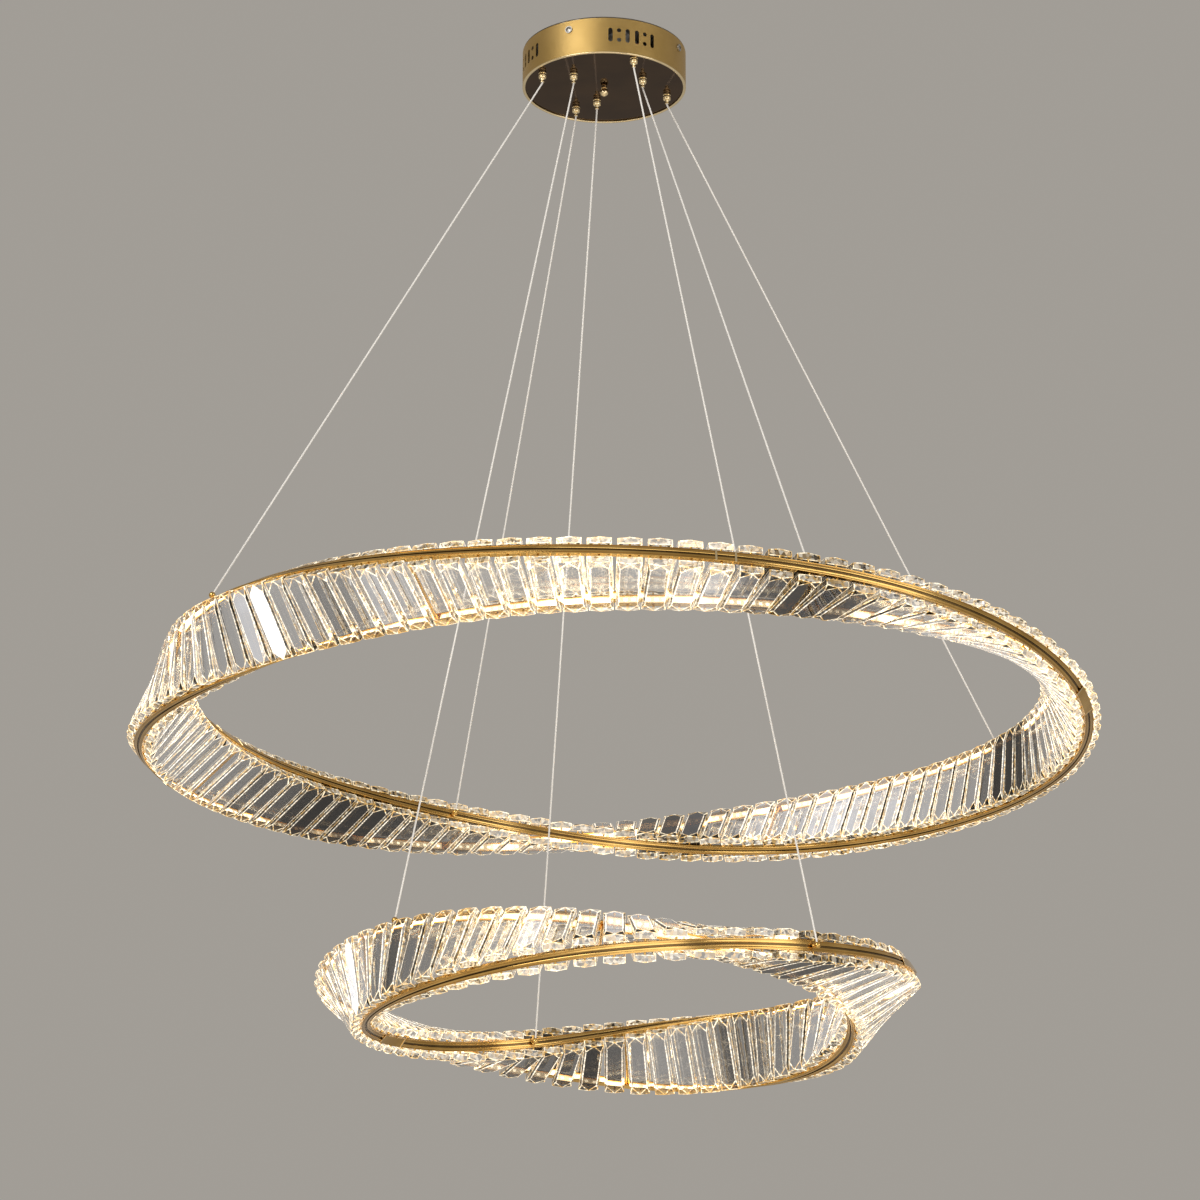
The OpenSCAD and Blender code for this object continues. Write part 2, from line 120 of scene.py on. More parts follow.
# Axes of the band at an angle: across it, along it and out of its face
def bandAxes(ring, angle):
    a = bandTilt(ring, angle)
    t = np.radians(angle)
    across = np.stack([np.cos(a) * np.cos(t), np.cos(a) * np.sin(t), np.sin(a)], axis=-1)
    along = np.stack([-np.sin(t), np.cos(t), 0 * t], axis=-1)
    out = np.stack([-np.sin(a) * np.cos(t), -np.sin(a) * np.sin(t), np.cos(a)], axis=-1)
    return across, along, out


# A bar stands in the middle of each equal step round the ring, and a post between two bars
def barAngles(ring):
    return (np.arange(ring["count"]) + 0.5) * 360.0 / ring["count"]


def postAngles(ring):
    i = np.arange(ring["posts"])
    return np.floor((i + 0.5) * ring["count"] / ring["posts"]) * 360.0 / ring["count"]


# building blocks

# Mesh object from whole arrays: points (k, 3), faces as (count, sides) arrays of point numbers. Shades
# gives each face its material's number, perPoint and perCorner are named values for the materials.
def makePiece(name, points, faceSets, material, body, stands=(), smooth=None, shades=None,
              corners=None, perPoint=None, perCorner=None):
    mesh = bpy.data.meshes.new(name)
    points = np.asarray(points, dtype=np.float32).reshape(-1, 3)
    mesh.vertices.add(len(points))
    mesh.vertices.foreach_set("co", points.ravel())
    loops = np.concatenate([np.asarray(f, dtype=np.int32).ravel() for f in faceSets])
    sizes = np.concatenate([np.full(len(f), np.asarray(f).shape[1], dtype=np.int32) for f in faceSets])
    starts = np.concatenate([[0], np.cumsum(sizes)[:-1]]).astype(np.int32)
    mesh.loops.add(len(loops))
    mesh.loops.foreach_set("vertex_index", loops)
    mesh.polygons.add(len(sizes))
    mesh.polygons.foreach_set("loop_start", starts)
    if shades is not None:
        mesh.polygons.foreach_set("material_index", np.asarray(shades, dtype=np.int32))
    if corners is not None:
        layer = mesh.uv_layers.new(name="facets")
        layer.data.foreach_set("uv", np.asarray(corners, dtype=np.float32).ravel())
    for domain, values in (("POINT", perPoint or {}), ("CORNER", perCorner or {})):
        for key, numbers in values.items():
            attribute = mesh.attributes.new(key, "FLOAT", domain)
            attribute.data.foreach_set("value", np.asarray(numbers, dtype=np.float32).ravel())
    mesh.update(calc_edges=True)
    mesh.validate()
    mesh.polygons.foreach_set("use_smooth", np.full(len(sizes), smooth is not None))
    if smooth is not None:
        mesh.set_sharp_from_angle(angle=math.radians(smooth))
    for one in material if isinstance(material, list) else [material]:
        mesh.materials.append(one)
    piece = bpy.data.objects.new(name, mesh)
    bpy.context.scene.collection.objects.link(piece)
    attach(piece, body)
    if stands:
        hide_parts(*stands)
    return piece


# Quads between neighbouring rows of point numbers, each row closed on itself
def gridFaces(rows, sides, first=0):
    i = np.arange(rows - 1)[:, None]
    j = np.arange(sides)[None, :]
    a = i * sides + j
    b = i * sides + (j + 1) % sides
    return np.stack([a, b, b + sides, a + sides], axis=-1).reshape(-1, 4) + first


# The first and the last row as two flat end faces
def endFaces(rows, sides, first=0):
    return np.array([np.arange(sides)[::-1], np.arange(sides) + (rows - 1) * sides]) + first


# Quads from the last row back to the first, which close a bore or a hoop
def boreFaces(rows, sides):
    a = np.arange(sides)
    b = (a + 1) % sides
    last = (rows - 1) * sides
    return np.stack([a, a + last, b + last, b], axis=-1)


# Outline carried along the band through the given angles, with flat ends
def bandSweep(ring, angles, outline, first=0):
    outline = np.asarray(outline, dtype=float)
    points = bandPoint(ring, angles[:, None], outline[None, :, 0], outline[None, :, 1]).reshape(-1, 3)
    rows, sides = len(angles), len(outline)
    return points, gridFaces(rows, sides, first), endFaces(rows, sides, first)


# Turned shape: a profile of (radius, distance along the axis) pairs taken once round the axis
def turned(profile, origin, axis, sides=24, first=0):
    profile = np.asarray(profile, dtype=float) * mm
    axis = np.asarray(axis, dtype=float) / np.linalg.norm(axis)
    side = np.cross(axis, [0, 1, 0] if abs(axis[1]) < 0.9 else [1, 0, 0])
    side = side / np.linalg.norm(side)
    other = np.cross(axis, side)
    turn = np.linspace(0, 2 * math.pi, sides, endpoint=False)
    spoke = np.cos(turn)[:, None] * side + np.sin(turn)[:, None] * other
    points = origin + profile[:, None, 1:2] * axis + profile[:, None, 0:1] * spoke[None]
    rows = len(profile)
    return points.reshape(-1, 3), gridFaces(rows, sides, first), endFaces(rows, sides, first)


# Thin tube along a short path, its rings square to the run of the path
def tube(path, radius, sides):
    path = np.asarray(path, dtype=float)
    run = np.gradient(path, axis=0)
    run = run / np.linalg.norm(run, axis=1, keepdims=True)
    side = np.cross(run, [0, 1, 0])
    side = side / np.linalg.norm(side, axis=1, keepdims=True)
    other = np.cross(run, side)
    turn = np.linspace(0, 2 * math.pi, sides, endpoint=False)
    points = (path[:, None] + radius * (np.cos(turn)[None, :, None] * side[:, None]
                                        + np.sin(turn)[None, :, None] * other[:, None]))
    return points.reshape(-1, 3), gridFaces(len(path), sides), endFaces(len(path), sides)


# Several shapes joined in one mesh; each maker takes the number of its first point
def gather(makers):
    points, quads, ends, count = [], [], [], 0
    for make in makers:
        p, f, e = make(count)
        points.append(p)
        quads.append(f)
        ends.append(e)
        count += len(p)
    bySize = {}
    for f in quads + ends:
        bySize.setdefault(f.shape[1], []).append(f)
    return np.concatenate(points), [np.concatenate(f) for f in bySize.values()]


# Makers for gather: the outline swept from a to b for each pair, and the profile turned at each spot
def sweeps(ring, pairs, outline, steps):
    return [lambda first, a=a, b=b: bandSweep(ring, np.linspace(a, b, steps), outline, first)
            for a, b in pairs]


def turnings(profile, spots, sides):
    return [lambda first, origin=origin, axis=axis: turned(profile, origin, axis, sides, first)
            for origin, axis in spots]


# Materials, each with one principled shader
def newMaterial(name):
    material = bpy.data.materials.new(name)
    material.use_nodes = True
    tree = material.node_tree
    tree.nodes.clear()
    shader = tree.nodes.new("ShaderNodeBsdfPrincipled")
    output = tree.nodes.new("ShaderNodeOutputMaterial")
    tree.links.new(shader.outputs["BSDF"], output.inputs["Surface"])
    return material, tree, shader


# Shader node: an input given another node's output is linked, one given a number or colour is set
def addNode(tree, kind, inputs=None, **settings):
    node = tree.nodes.new("ShaderNode" + kind)
    for key, value in settings.items():
        setattr(node, key, value)
    for key, value in (inputs or {}).items():
        if isinstance(value, bpy.types.NodeSocket):
            tree.links.new(value, node.inputs[key])
        else:
            node.inputs[key].default_value = value
    return node


# Place in the object's own metres, stretched by the scale
def objectPoint(tree, scale=(1, 1, 1)):
    place = addNode(tree, "TexCoord")
    mapping = addNode(tree, "Mapping", {"Vector": place.outputs["Object"], "Scale": scale})
    return mapping.outputs["Vector"]


# Soft noise at a place, about as many bumps to each unit of it as the scale says
def noise(tree, place, scale, detail, output="Fac"):
    node = addNode(tree, "TexNoise", {"Vector": place, "Scale": scale, "Detail": detail})
    return node.outputs[output]


# From the first colour to the second as the factor goes from 0 to 1
def mixColor(tree, factor, first, second):
    mix = addNode(tree, "Mix", data_type="RGBA")
    for socket, value in ((mix.inputs[0], factor), (mix.inputs[6], first), (mix.inputs[7], second)):
        if isinstance(value, bpy.types.NodeSocket):
            tree.links.new(value, socket)
        else:
            socket.default_value = value
    return mix.outputs[2]


# Value taken in a straight line from one range to another and kept inside it
def mapRange(tree, value, low, high, toLow, toHigh):
    node = addNode(tree, "MapRange", {"Value": value, "From Min": low, "From Max": high,
                                      "To Min": toLow, "To Max": toHigh})
    return node.outputs["Result"]


# One sum, product or other step of two values; times multiplies them all
def combine(tree, operation, first, second):
    return addNode(tree, "Math", {0: first, 1: second}, operation=operation).outputs[0]


def times(tree, *values):
    total = values[0]
    for value in values[1:]:
        total = combine(tree, "MULTIPLY", total, value)
    return total


# Sum of colours, each one scaled by its own strength
def addColors(tree, *pairs):
    total = None
    for color, strength in pairs:
        scaled = addNode(tree, "VectorMath", {0: color, "Scale": strength}, operation="SCALE").outputs[0]
        if total is None:
            total = scaled
        else:
            total = addNode(tree, "VectorMath", {0: total, 1: scaled}, operation="ADD").outputs[0]
    return total


# Metal with a faint drift of tone, fine brushing along one direction and small wear
def metal(name, color, deep, roughness, grain, bump):
    material, tree, shader = newMaterial(name)
    drift = mapRange(tree, noise(tree, objectPoint(tree), 22.0, 3.0), 0.35, 0.7, 0, 1)
    lines = noise(tree, objectPoint(tree, grain), 1.0, 4.0)
    wear = mapRange(tree, lines, 0.3, 0.7, 0.88 * roughness, 1.12 * roughness)
    rise = addNode(tree, "Bump", {"Height": lines, "Strength": bump, "Distance": 0.0004})
    tree.links.new(mixColor(tree, drift, (*deep, 1), (*color, 1)), shader.inputs["Base Color"])
    tree.links.new(wear, shader.inputs["Roughness"])
    tree.links.new(rise.outputs["Normal"], shader.inputs["Normal"])
    shader.inputs["Metallic"].default_value = 1.0
    return material


# Moulded plastic: fine pebble and a slight drift of tone
def plastic(name, color, roughness, pebbled=0.25):
    material, tree, shader = newMaterial(name)
    drift = noise(tree, objectPoint(tree), 45.0, 2.0)
    shade = tuple(0.9 * c for c in color)
    pebble = noise(tree, objectPoint(tree), 1400.0, 2.0)
    rise = addNode(tree, "Bump", {"Height": pebble, "Strength": pebbled, "Distance": 0.0002})
    tree.links.new(mixColor(tree, drift, (*shade, 1), (*color, 1)), shader.inputs["Base Color"])
    tree.links.new(rise.outputs["Normal"], shader.inputs["Normal"])
    shader.inputs["Roughness"].default_value = roughness
    return material


# Crystal: clear glass, darkened by the bar's own value as painted shade. Emission paints the strips' light
# caught by the glass: painted highlight lines along the facets' edges, white or gold near the rails and warm
# white between, painted glints as small lit chips on the sides, bevels and ends and near the rails, a painted
# web of glints inside some bars and a painted pale sheen over the tables of others. The facet map holds the
# distance to the facet's edge in millimetres and the place along the bar, from 0 to 1.
crystalLook = {"lineCore": 0.42, "lineWidth": 0.92, "lineLow": 0.4, "lineHigh": 1.0, "strength": 2.0,
               "lineMiddle": (1.0, 0.93, 0.80), "lineEnd": (1.0, 0.84, 0.55), "lineGold": (0.6, 0.34, 0.08),
               "chips": 300.0, "gold": (0.85, 0.50, 0.13), "white": (1.0, 0.92, 0.76),
               "zone": 0.17, "side": 0.14, "end": 0.27, "webCells": 125.0, "webBend": 0.02,
               "web": (0.5, 0.40, 0.26), "halo": (0.5, 0.38, 0.20), "painted_sheen": (0.30, 0.305, 0.33),
               "clear": (0.97, 0.98, 1.0), "painted_shade_tone": (0.03, 0.021, 0.014), "roughness": 0.015, "bending": 1.52}


def crystalGlass(name):
    look = crystalLook
    material, tree, shader = newMaterial(name)
    place = objectPoint(tree)
    facets = addNode(tree, "UVMap", uv_map="facets")
    parts = addNode(tree, "SeparateXYZ", {"Vector": facets.outputs["UV"]})
    toEdge, alongBar = parts.outputs["X"], parts.outputs["Y"]
    own = {key: addNode(tree, "Attribute", attribute_name=key).outputs["Fac"]
           for key in ("painted_shade", "glow", "painted_sheen", "painted_glitter", "table", "side", "end")}
    fine = noise(tree, place, 430.0, 1.0)
    broad = noise(tree, place, 38.0, 1.0)

    # painted highlight lines along the facets' edges
    chips = addNode(tree, "TexVoronoi", {"Vector": place, "Scale": look["chips"]})
    chip = addNode(tree, "SeparateColor", {"Color": chips.outputs["Color"]})
    goldOrWhite = mapRange(tree, chip.outputs[1], 0.45, 0.6, 0, 1)
    endTone = mixColor(tree, goldOrWhite, (*look["lineGold"], 1), (*look["lineEnd"], 1))
    nearRail = mapRange(tree, alongBar, 0.62, 0.86, 0, 1)
    lineTone = mixColor(tree, nearRail, (*look["lineMiddle"], 1), endTone)
    edge = mapRange(tree, toEdge, look["lineCore"], look["lineWidth"], 1, 0)
    bright = mapRange(tree, fine, 0.4, 0.6, look["lineLow"], look["lineHigh"])

    # painted glints: lit chips on the sides, bevels and ends and near the rails
    chipTone = mixColor(tree, chip.outputs[1], (*look["gold"], 1), (*look["white"], 1))
    someLit = mapRange(tree, chip.outputs[0], 0.5, 0.8, 0, 1)
    mostlyLit = mapRange(tree, chip.outputs[2], 0.25, 0.65, 0.08, 1)
    zone = mapRange(tree, alongBar, 0.86, 0.99, 0, 1)

    # painted glints inside the tables, web and halo, and a painted pale sheen
    swirl = noise(tree, place, 90.0, 0.0, "Color")
    bend = (look["webBend"],) * 3
    bent = addNode(tree, "VectorMath", {0: swirl, 1: bend, 2: place}, operation="MULTIPLY_ADD")
    cells = addNode(tree, "TexVoronoi", {"Vector": bent.outputs[0], "Scale": look["webCells"]},
                    feature="DISTANCE_TO_EDGE")
    web = mapRange(tree, cells.outputs["Distance"], 0.015, 0.06, 1, 0)
    patch = mapRange(tree, broad, 0.42, 0.6, 0.0, 1)
    wavy = combine(tree, "ADD", alongBar, times(tree, fine, 0.14))
    halo = times(tree, mapRange(tree, wavy, 0.87, 0.93, 0, 1), mapRange(tree, wavy, 1.0, 1.05, 1, 0))
    cloud = mapRange(tree, broad, 0.4, 0.65, 0.8, 1.0)

    # all the painted light of the bar, given out as emission
    color = addColors(tree, (lineTone, times(tree, edge, bright, own["glow"])),
                      (chipTone, times(tree, someLit, zone, own["glow"], look["zone"])),
                      (chipTone, times(tree, mostlyLit, own["side"], own["glow"], look["side"])),
                      (chipTone, times(tree, mostlyLit, own["end"], own["glow"], look["end"])),
                      (look["web"], times(tree, web, patch, own["painted_glitter"], own["table"])),
                      (look["halo"], times(tree, halo, own["painted_glitter"], own["table"])),
                      (look["painted_sheen"], times(tree, cloud, own["painted_sheen"], own["table"])))

    # seen from inside the glass, only the webbed bars keep their painted light
    inside = addNode(tree, "NewGeometry").outputs["Backfacing"]
    hidden = times(tree, inside, combine(tree, "SUBTRACT", 1.0, own["painted_glitter"]))
    color = addColors(tree, (color, combine(tree, "SUBTRACT", 1.0, hidden)))
    # painted shade: the bar's own value darkens the glass in place of dark reflections
    body = mixColor(tree, own["painted_shade"], (*look["clear"], 1), (*look["painted_shade_tone"], 1))
    tree.links.new(color, shader.inputs["Emission Color"])
    tree.links.new(body, shader.inputs["Base Color"])
    shader.inputs["Emission Strength"].default_value = look["strength"]
    shader.inputs["Roughness"].default_value = look["roughness"]
    shader.inputs["IOR"].default_value = look["bending"]
    shader.inputs["Transmission Weight"].default_value = 1.0
    material.cycles.emission_sampling = "NONE"
    return material


# Light strip: warm glow that drifts a little, with stronger spots strewn along it
def lightStrip(name, color, strength, spots):
    material, tree, shader = newMaterial(name)
    place = objectPoint(tree)
    cells = addNode(tree, "TexVoronoi", {"Vector": place, "Scale": 26.0})
    even = mapRange(tree, noise(tree, place, 120.0, 1.0), 0.3, 0.7, 0.8 * strength, 1.15 * strength)
    spot = mapRange(tree, cells.outputs["Distance"], 0.3, 0.5, spots, 0)
    tree.links.new(combine(tree, "ADD", even, spot), shader.inputs["Emission Strength"])
    shader.inputs["Emission Color"].default_value = (*color, 1)
    shader.inputs["Base Color"].default_value = (1.0, 0.93, 0.78, 1)
    shader.inputs["Roughness"].default_value = 0.4
    return material


# metals: shown tone, deeper tone, roughness, brushing per metre along x, y and z, depth of the brushing
satinGold = metal("satin gold", (0.58, 0.39, 0.14), (0.50, 0.33, 0.11), 0.45, (30, 30, 5200), 0.25)
polishedGold = metal("polished gold", (0.80, 0.52, 0.17), (0.66, 0.40, 0.11), 0.13, (140, 140, 140), 0.02)
railGold = metal("rail gold", (0.84, 0.54, 0.18), (0.58, 0.35, 0.10), 0.16, (260, 260, 260), 0.03)
# darker copy of the rail's gold for the slot: painted shade
paintedSlotShade = metal("groove painted shade", (0.20, 0.125, 0.048), (0.14, 0.085, 0.032), 0.3, (260, 260, 260), 0.03)
# lighter copy of the gold, partly painted highlight on the canopy's lip, the finial and the grippers
paleGoldAndHighlight = metal("pale gold and painted highlight", (0.98, 0.82, 0.52), (0.90, 0.72, 0.42), 0.2, (200, 200, 200), 0.03)
darkMirror = metal("dark bronze mirror", (0.08, 0.042, 0.015), (0.058, 0.03, 0.011), 0.06,
                   (40, 900, 40), 0.02)
platedSteel = metal("plated steel", (0.50, 0.48, 0.44), (0.40, 0.385, 0.35), 0.34, (400, 400, 400), 0.05)
whitePlastic = plastic("white plastic", (0.82, 0.81, 0.78), 0.5)
ivoryPlastic = plastic("ivory plastic", (0.74, 0.71, 0.60), 0.45)
wireSleeve = plastic("wire sleeve", (0.30, 0.08, 0.05), 0.55)
cableCover = plastic("clear cable cover", (0.93, 0.88, 0.81), 0.45, 0.04)
glass = crystalGlass("crystal glass")
stripGlow = lightStrip("light strip", (1.0, 0.72, 0.36), 1.2, 4.5)
beadGlow = lightStrip("light bead", (1.0, 0.84, 0.56), 4.5, 4.0)
print("materials made")


# The material in every slot of the named CAD nodes
def dress(material, *names):
    for name in names:
        slots = nodes[name].material_slots
        for s in slots:
            s.material = material
        if not len(slots):
            nodes[name].data.materials.append(material)


dress(satinGold, "canopy_drum")
dress(darkMirror, "canopy_plate")
dress(platedSteel, "ceiling_bracket", "canopy_screws", "gripper_nuts", "finial_nut")
dress(whitePlastic, "led_driver_upper", "led_driver_lower")
dress(ivoryPlastic, "terminal_block")
dress(wireSleeve, "mains_leads", "output_leads")
dress(polishedGold, "upper_pins", "lower_pins")

# rails and strips, in millimetres

# Rail outline as (n, m) pairs for rail A: two beads, a slot down the middle of the outer face and
# a channel for the strip behind; rail B is the same outline turned over
railOutline = [
    (42.4, -5.5), (42.9, -5.45), (43.2, -5.25), (43.3, -4.9), (43.2, -4.4), (42.7, -4.2), (42.7, -3.6),
    (43.1, -3.4), (43.3, -2.4), (43.2, -1.4), (42.9, -1.1), (42.0, -1.0), (42.0, 1.0), (42.9, 1.1),
    (43.2, 1.4), (43.3, 2.4), (43.1, 3.4), (42.7, 3.6), (42.7, 4.2), (43.2, 4.4), (43.3, 4.9),
    (43.2, 5.25), (42.9, 5.45), (42.4, 5.5), (38.1, 5.5), (37.8, 5.3), (37.8, 4.1), (38.0, 3.9),
    (40.8, 3.9), (40.8, -3.9), (38.0, -3.9), (37.8, -4.1), (37.8, -5.3), (38.1, -5.5),
]
railShape = {"grooves": (10, 11, 12), "reach": 43.3, "seamGap": 0.02}  # the outline's sides in the slot
stripShape = {"top": 40.5, "under": 39.0, "half": 3.5, "postRoom": 4.6, "steps": 60, "pitch": 8.3,
              "beadWide": 1.5, "beadDeep": 1.9, "beadTall": 0.8, "beadTop": 0.6, "beadSunk": 0.05}
coverPlate = {"inside": 43.4, "outside": 44.2, "half": 5.4, "reach": 30.0, "rim": 1.9, "rimRise": 0.3}


# Each rail is two arcs: its outline carried along the band from seam to seam, a hair short of each
# seam, with the sides of the slot in a darker copy of the metal as painted shade
def makeRails(key, ring):
    step = 360.0 / ring["count"]
    gap = railShape["seamGap"]
    front, back = ring["seams"][0] * step, ring["seams"][1] * step
    for letter, side in (("a", 1), ("b", -1)):
        outline = np.array(railOutline) * side
        for name, start, end in (("front", front, back), ("back", back, front + 360)):
            angles = np.linspace(start + gap, end - gap, 2 * ring["count"] + 1)
            points, faces, ends = bandSweep(ring, angles, outline)
            inSlot = np.isin(np.arange(len(faces)) % len(outline), railShape["grooves"])
            makePiece(f"{key}_rail_{letter}_{name}_shell", points, [faces, ends], [railGold, paintedSlotShade],
                      ring["body"], [f"{key}_rail_{letter}_{name}"], smooth=28,
                      shades=np.concatenate([inSlot, [0, 0]]))
        makeStrip(key, ring, letter, side)


# Strip base swept between the posts, and a low bead with sloping sides at every pitch along it
def makeStrip(key, ring, letter, side):
    s = stripShape
    posts = postAngles(ring)
    room = s["postRoom"] / (ring["radius"] - railShape["reach"]) * 180 / math.pi
    spans = [(a + room, b - room) for a, b in zip(posts, np.append(posts[1:], posts[0] + 360))]
    outline = np.array([(s["top"], -s["half"]), (s["top"], s["half"]),
                        (s["under"], s["half"]), (s["under"], -s["half"])]) * side
    points, faces = gather(sweeps(ring, spans, outline, s["steps"]))
    makePiece(f"{key}_strip_{letter}_base", points, faces, stripGlow, ring["body"],
              [f"{key}_strip_{letter}"], smooth=30)
    pitch = s["pitch"] / ring["radius"] * 180 / math.pi
    angles = np.concatenate([np.arange(a + pitch / 2, b - pitch / 3, pitch) for a, b in spans])
    across, along, out = bandAxes(ring, angles)
    middle = bandPoint(ring, angles, side * (s["under"] + s["beadSunk"]), 0.0)
    square = np.array([(-1, -1), (1, -1), (1, 1), (-1, 1)]) * (s["beadWide"], s["beadDeep"])
    corner = np.concatenate([np.column_stack([square, np.zeros(4)]),
                             np.column_stack([s["beadTop"] * square, np.full(4, s["beadTall"])])]) * mm
    points = (middle[:, None] + corner[None, :, 0:1] * out[:, None] * side
              + corner[None, :, 1:2] * along[:, None] - corner[None, :, 2:3] * across[:, None] * side)
    bead = np.array([(4, 5, 6, 7), (0, 1, 5, 4), (1, 2, 6, 5), (2, 3, 7, 6), (3, 0, 4, 7), (3, 2, 1, 0)])
    faces = (bead[None] + 8 * np.arange(len(angles))[:, None, None]).reshape(-1, 4)
    makePiece(f"{key}_strip_{letter}_beads", points, [faces], beadGlow, ring["body"])


# Thin plate over each seam, with a raised pale rim at both ends, and narrow straps on the upper rail A
def makeCovers(key, ring):
    p = coverPlate
    arc = 180 / math.pi / ring["radius"]
    rim = p["rim"] * arc
    plates, rims = [], []
    for side in (1, -1):
        plate = np.array([(p["inside"], -p["half"]), (p["outside"], -p["half"]),
                          (p["outside"], p["half"]), (p["inside"], p["half"])]) * side
        raised = plate.copy()
        raised[1:3, 0] += side * p["rimRise"]
        for seam in ring["seams"]:
            middle = seam * 360.0 / ring["count"]
            low, high = middle - p["reach"] * arc, middle + p["reach"] * arc
            plates += sweeps(ring, [(low, high)], plate, 9)
            rims += sweeps(ring, [(at, at + rim) for at in (low, high - rim)], raised, 2)
        if side == 1:
            rims += sweeps(ring, [(at, at + rim) for at in ring["straps"]], plate, 2)
    points, faces = gather(plates)
    makePiece(f"{key}_cover_plates", points, faces, railGold, ring["body"],
              [f"{key}_joiners"], smooth=30)
    points, faces = gather(rims)
    makePiece(f"{key}_cover_rims", points, faces, paleGoldAndHighlight, ring["body"])


# Posts between the rails, turned with a collar at each end; half of one as (radius, distance) pairs
postHalf = [(1.4, 0.0), (1.4, 30.0), (1.9, 34.0), (2.4, 37.5), (2.5, 38.7), (3.0, 39.0), (3.4, 39.4),
            (3.4, 40.4), (3.2, 40.7), (0.01, 40.7)]


def makePosts(key, ring):
    half = np.array(postHalf)
    profile = np.concatenate([half[:0:-1] * (1, -1), half[1:]])
    angles = postAngles(ring)
    across, along, out = bandAxes(ring, angles)
    points, faces = gather(turnings(profile, zip(bandPoint(ring, angles, 0.0, 0.0), across), 16))
    makePiece(f"{key}_turned_posts", points, faces, railGold, ring["body"],
              [f"{key}_posts"], smooth=40)


# crystals, in millimetres; faint and fainter keep a painted highlight line off its edge, jitter is in degrees
crystalShape = {"length": 83.0, "thick": 8.3, "near": 8.2, "girdle": 6.3, "shoulder": 10.5, "bevel": 2.5,
                "tip": 0.4, "slight": 0.1, "faint": 0.3, "fainter": 0.42, "bevelLit": 0.75, "jitter": 0.35}


# One bar: x along it, y over its width, z from its back to its table. The front has a long table with
# pointed ends that reach the end faces, two long bevels and a sloping facet at each corner. Points 0 to 3
# are the back's corners, 4 to 7 the corners at the foot of the bevels and 8 to 13 go round the table.
def crystalBar(width):
    s = crystalShape
    long, wide = s["length"] / 2, width / 2
    g, t = s["girdle"], s["thick"]
    tableX, tableY, tip = long - s["shoulder"], wide - s["bevel"], long - s["tip"]
    points = [(long, wide, 0), (-long, wide, 0), (-long, -wide, 0), (long, -wide, 0),
              (long, wide, g), (-long, wide, g), (-long, -wide, g), (long, -wide, g),
              (tip, 0, t), (tableX, tableY, t), (-tableX, tableY, t), (-tip, 0, t), (-tableX, -tableY, t),
              (tableX, -tableY, t)]
    loops = [[8, 9, 10, 11, 12, 13], [4, 9, 10, 5], [6, 12, 13, 7], [4, 8, 9], [7, 13, 8], [5, 10, 11],
             [6, 11, 12], [3, 0, 4, 8, 7], [1, 2, 6, 11, 5], [0, 1, 5, 4], [2, 3, 7, 6], [0, 3, 2, 1]]
    return np.array(points, dtype=float), loops


# How far the painted highlight line along a facet's edge starts from it: nothing at the table, more along the
# back
def lineOffset(a, b, long):
    s = crystalShape
    if max(a, b) > 7:
        return 0
    if not long:
        return s["slight"]
    return s["fainter"] if max(a, b) < 4 else s["faint"]


# Each facet is a fan round its middle. Every corner of a triangle is marked with its distance to the
# facet's edge in millimetres and with its place along the bar, 0 in the middle and 1 at the ends. Kinds
# tells how much the facet counts as table, side and end; a bevel counts as part of a side.
# The marks and kinds place the painted highlight lines, glints and sheen of the crystal glass.
def crystalTriangles(width):
    longest = crystalShape["length"] / 2
    points, loops = crystalBar(width)
    points = list(points)
    inside = np.array([0.0, 0.0, 3.5])
    triangles, marks, kinds = [], [], []
    for loop in loops:
        middle = np.mean([points[k] for k in loop], axis=0)
        normal = np.cross(points[loop[1]] - points[loop[0]], points[loop[2]] - points[loop[0]])
        if np.dot(normal, middle - inside) < 0:
            loop = loop[::-1]
        low, high = min(loop), max(loop)
        bevel = crystalShape["bevelLit"] * (low > 3 and len(loop) == 4)
        kind = (float(low > 7), float(low < 4 < high < 8) + bevel, float(low < 4 and high > 7))
        points.append(middle)
        hub = len(points) - 1
        for a, b in zip(loop, loop[1:] + loop[:1]):
            run = points[b] - points[a]
            far = np.linalg.norm(np.cross(middle - points[a], run)) / np.linalg.norm(run)
            off = lineOffset(a, b, abs(run[0]) > longest)
            triangles.append((a, b, hub))
            marks.append([(off, abs(points[a][0]) / longest), (off, abs(points[b][0]) / longest),
                          (off + far, abs(middle[0]) / longest)])
            kinds.append([kind] * 3)
    return np.array(points), np.array(triangles), np.array(marks), np.array(kinds)


# Painted shade, painted sheen, painted glitter and painted glow of the bars round each ring, as (angle,
# spread in degrees, amount)
crystalTone = {
    "upper": {"painted_shade": [(292, 7, 1.3), (22, 5, 1.7), (82, 6, 1.4), (128, 20, 1.25), (236, 3, 0.3)],
              # sheen bells: painted sheen, a white reflection painted over the tables
              "painted_sheen": [(226.6, 1.3, 3.0), (223.4, 1.2, 0.45), (244, 1.5, 0.5), (281, 4, 0.35),
                        (325, 18, 0.3), (57, 15, 0.6)],
              "painted_glitter": [(264, 15, 0.55), (335, 16, 0.25), (108, 10, 0.2)],
              "glow": [(352, 14, 0.45), (52, 22, 0.35), (176, 14, 0.2), (205, 12, 0.15)]},
    "lower": {"painted_shade": [(311, 10, 1.6), (104, 15, 1.1), (60, 14, 0.5), (221, 9, 0.5)],
              "painted_sheen": [(205, 4, 1.5), (253, 3, 0.45), (272, 8, 0.35), (28, 8, 0.35)],
              "painted_glitter": [(246, 12, 0.5), (345, 12, 0.2), (70, 16, 0.3)],
              "glow": [(246, 14, 0.25), (204, 16, 0.3), (340, 20, 0.15), (150, 25, 0.2)]},
}
toneLimits = {"painted_shade": 1, "painted_sheen": 2.4, "painted_glitter": 1}
baseGlow = 0.8


